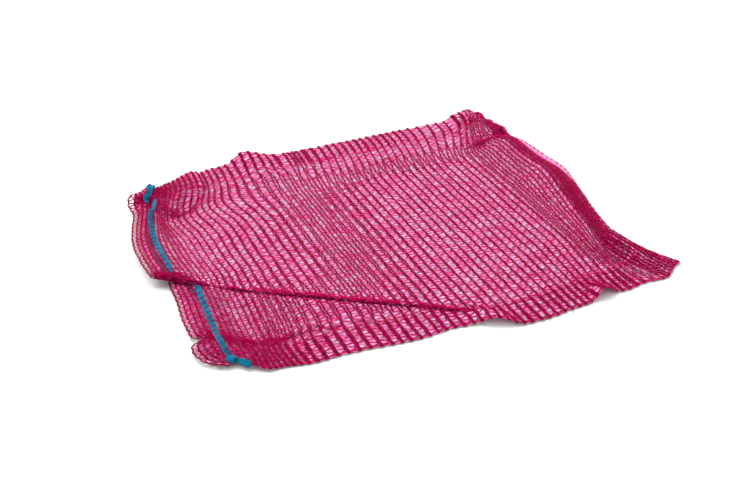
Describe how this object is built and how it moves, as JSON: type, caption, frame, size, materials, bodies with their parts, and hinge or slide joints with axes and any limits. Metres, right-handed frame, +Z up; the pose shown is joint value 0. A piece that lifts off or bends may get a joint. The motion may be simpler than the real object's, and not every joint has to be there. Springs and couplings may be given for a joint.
{
  "type": "raschel mesh bag",
  "caption": "Empty knitted net bag lying flat with its mouth gathered, a diagonal pleat, sewn sides and a flat knotted drawstring tape.",
  "frame": {"origin": "centre of the laid bag's box, on the surface that it lies on", "axes": "+X from the mouth to the folded bottom, +Y across the bag to its far sewn side, +Z up"},
  "size_m": [0.466, 0.407, 0.0217],
  "materials": {
    "net": "knitted plastic tape, slightly shiny",
    "tape": "flat woven tape, satin"
  },
  "bodies": {
    "root": {"net_bag": "net", "drawstring": "tape"}
  },
  "joints": []
}
